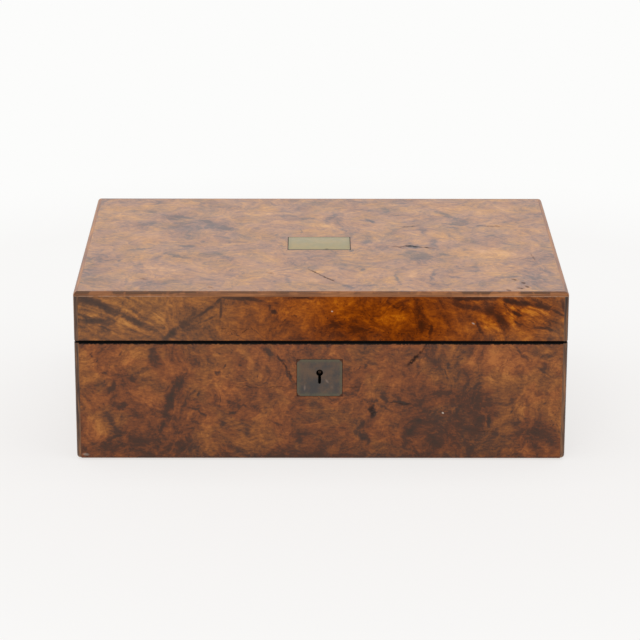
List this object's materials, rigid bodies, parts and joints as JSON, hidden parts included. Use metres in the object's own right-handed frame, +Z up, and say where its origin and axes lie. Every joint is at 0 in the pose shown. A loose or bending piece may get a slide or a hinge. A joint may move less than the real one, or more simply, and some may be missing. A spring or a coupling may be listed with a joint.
{
  "type": "writing box",
  "caption": "Low rectangular wooden writing box whose lid turns over on back hinges into a writing slope, with flaps, pen tray, inkwells and lock.",
  "frame": {"origin": "middle of the underside, where the box rests", "axes": "+X to the right seen from the keyhole side, +Y towards the hinges, +Z up"},
  "size_m": [0.35, 0.2548, 0.126],
  "materials": {
    "burr_veneer": "french polished burr walnut",
    "walnut_bead": "polished straight walnut",
    "carcass_board": "planed pine",
    "ebonised_facing": "ebonised, satin",
    "mahogany": "waxed mahogany",
    "writing_leather": "dark skiver",
    "baize_cloth": "felted wool",
    "pull_ribbon": "woven silk",
    "inkwell_glass": "clear pressed glass",
    "brass": "polished, slightly tarnished",
    "name_plate_brass": "dull brass",
    "escutcheon_brass": "dark patinated brass",
    "lock_steel": "filed steel"
  },
  "bodies": {
    "base": {"baize": "baize_cloth", "base_bottom_board": "carcass_board", "base_front_board": "carcass_board", "base_back_board": "carcass_board", "base_side_boards": "carcass_board", "base_front_veneer": "burr_veneer", "base_back_veneer": "burr_veneer", "base_side_veneers": "burr_veneer", "base_corner_beads": "walnut_bead", "base_rim_facings": "ebonised_facing", "partition": "mahogany", "inkwell_dividers": "mahogany", "inkwell_floors": "mahogany", "inkwell_bottles": "inkwell_glass", "inkwell_collars": "brass", "pen_tray": "mahogany", "tray_supports": "mahogany", "base_flap_ledges": "mahogany", "base_hinge_rail": "mahogany", "base_rail_leather": "writing_leather", "base_hinge_leaves": "brass", "hinge_pins": "brass", "base_hinge_screws": "brass", "lock_case": "lock_steel", "lock_back_plate": "brass", "lock_selvedge": "brass", "lock_spring": "lock_steel", "lock_drill_pin": "lock_steel", "lock_screws": "lock_steel", "escutcheon": "escutcheon_brass"},
    "lid": {"lid_top_board": "carcass_board", "lid_front_board": "carcass_board", "lid_back_board": "carcass_board", "lid_side_boards": "carcass_board", "lid_top_veneer": "burr_veneer", "lid_front_veneer": "burr_veneer", "lid_back_veneer": "burr_veneer", "lid_side_veneers": "burr_veneer", "lid_corner_beads": "walnut_bead", "lid_top_edge_beads": "walnut_bead", "lid_rim_facings": "ebonised_facing", "lid_front_panel": "mahogany", "lid_flap_ledges": "mahogany", "lid_hinge_rail": "mahogany", "lid_rail_leather": "writing_leather", "lid_hinge_leaves": "brass", "lid_hinge_screws": "brass", "link_plate": "brass", "link_plate_screws": "brass", "name_plate": "name_plate_brass"},
    "base_flap": {"base_flap": "mahogany", "base_flap_leather": "writing_leather", "base_flap_pull_tab": "pull_ribbon"},
    "lid_flap": {"lid_flap": "mahogany", "lid_flap_leather": "writing_leather", "lid_flap_pull_tab": "pull_ribbon"},
    "lock_bolt": {"lock_bolt": "lock_steel"},
    "inkwell_left_cap": {"inkwell_left_cap": "brass"},
    "inkwell_right_cap": {"inkwell_right_cap": "brass"}
  },
  "joints": [
    {"name": "lid_hinge", "type": "hinge", "parent": "base", "child": "lid", "pos_m": [0, 0.1265, 0.063], "axis": [-1, 0, 0], "range_deg": [0, 180]},
    {"name": "base_flap_hinge", "type": "hinge", "parent": "base", "child": "base_flap", "pos_m": [0, 0.10675, 0.06445], "axis": [-1, 0, 0], "range_deg": [0, 60]},
    {"name": "lid_flap_hinge", "type": "hinge", "parent": "lid", "child": "lid_flap", "pos_m": [0, 0.10675, 0.06685], "axis": [1, 0, 0], "range_deg": [0, 60]},
    {"name": "lock_bolt_slide", "type": "slide", "parent": "base", "child": "lock_bolt", "axis": [1, 0, 0], "range_m": [0, 0.004]},
    {"name": "left_cap_turn", "type": "hinge", "parent": "base", "child": "inkwell_left_cap", "pos_m": [-0.1425, -0.0935, 0.08], "axis": [0, 0, 1], "range_deg": [0, 360]},
    {"name": "right_cap_turn", "type": "hinge", "parent": "base", "child": "inkwell_right_cap", "pos_m": [0.1425, -0.0935, 0.08], "axis": [0, 0, 1], "range_deg": [0, 360]}
  ],
  "couplings": [
    {"joint": "base_flap_hinge", "follows": "lid_hinge", "ratio": 0.33333},
    {"joint": "lid_flap_hinge", "follows": "lid_hinge", "ratio": 0.33333}
  ]
}
